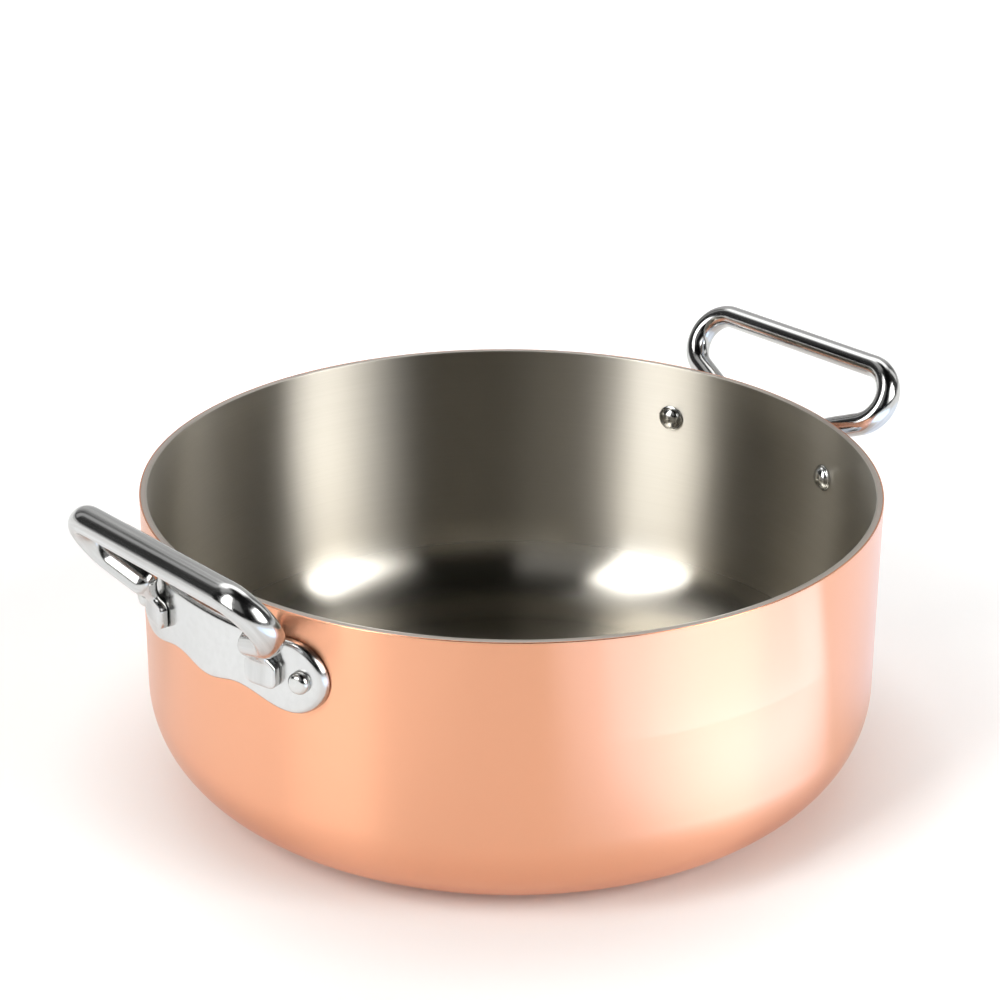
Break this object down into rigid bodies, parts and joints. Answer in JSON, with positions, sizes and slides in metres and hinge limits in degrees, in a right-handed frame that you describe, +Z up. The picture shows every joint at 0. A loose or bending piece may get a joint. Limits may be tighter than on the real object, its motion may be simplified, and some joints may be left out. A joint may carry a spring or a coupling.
{
  "type": "shallow casserole",
  "caption": "Straight-walled round casserole, copper outside and satin steel inside, with fixed oval-bar loop handles on riveted curved plates.",
  "frame": {"origin": "centre of the flat bottom, where the pot stands", "axes": "+X through the right handle, +Y to the back, +Z up along the pot's axis"},
  "size_m": [0.2934, 0.245, 0.1171],
  "materials": {
    "copper": "bright, finely buffed",
    "aluminium": "turned edge",
    "satin_steel": "satin, brushed round the pot",
    "polished_plate": "polished stainless steel",
    "polished_bar": "mirror-polished stainless steel",
    "rivet_steel": "polished stainless steel"
  },
  "bodies": {
    "root": {"copper_body": "copper", "aluminium_core": "aluminium", "steel_liner": "satin_steel", "right_handle_plate": "polished_plate", "right_handle_loop": "polished_bar", "right_front_rivet": "rivet_steel", "right_back_rivet": "rivet_steel", "left_handle_plate": "polished_plate", "left_handle_loop": "polished_bar", "left_front_rivet": "rivet_steel", "left_back_rivet": "rivet_steel"}
  },
  "joints": []
}
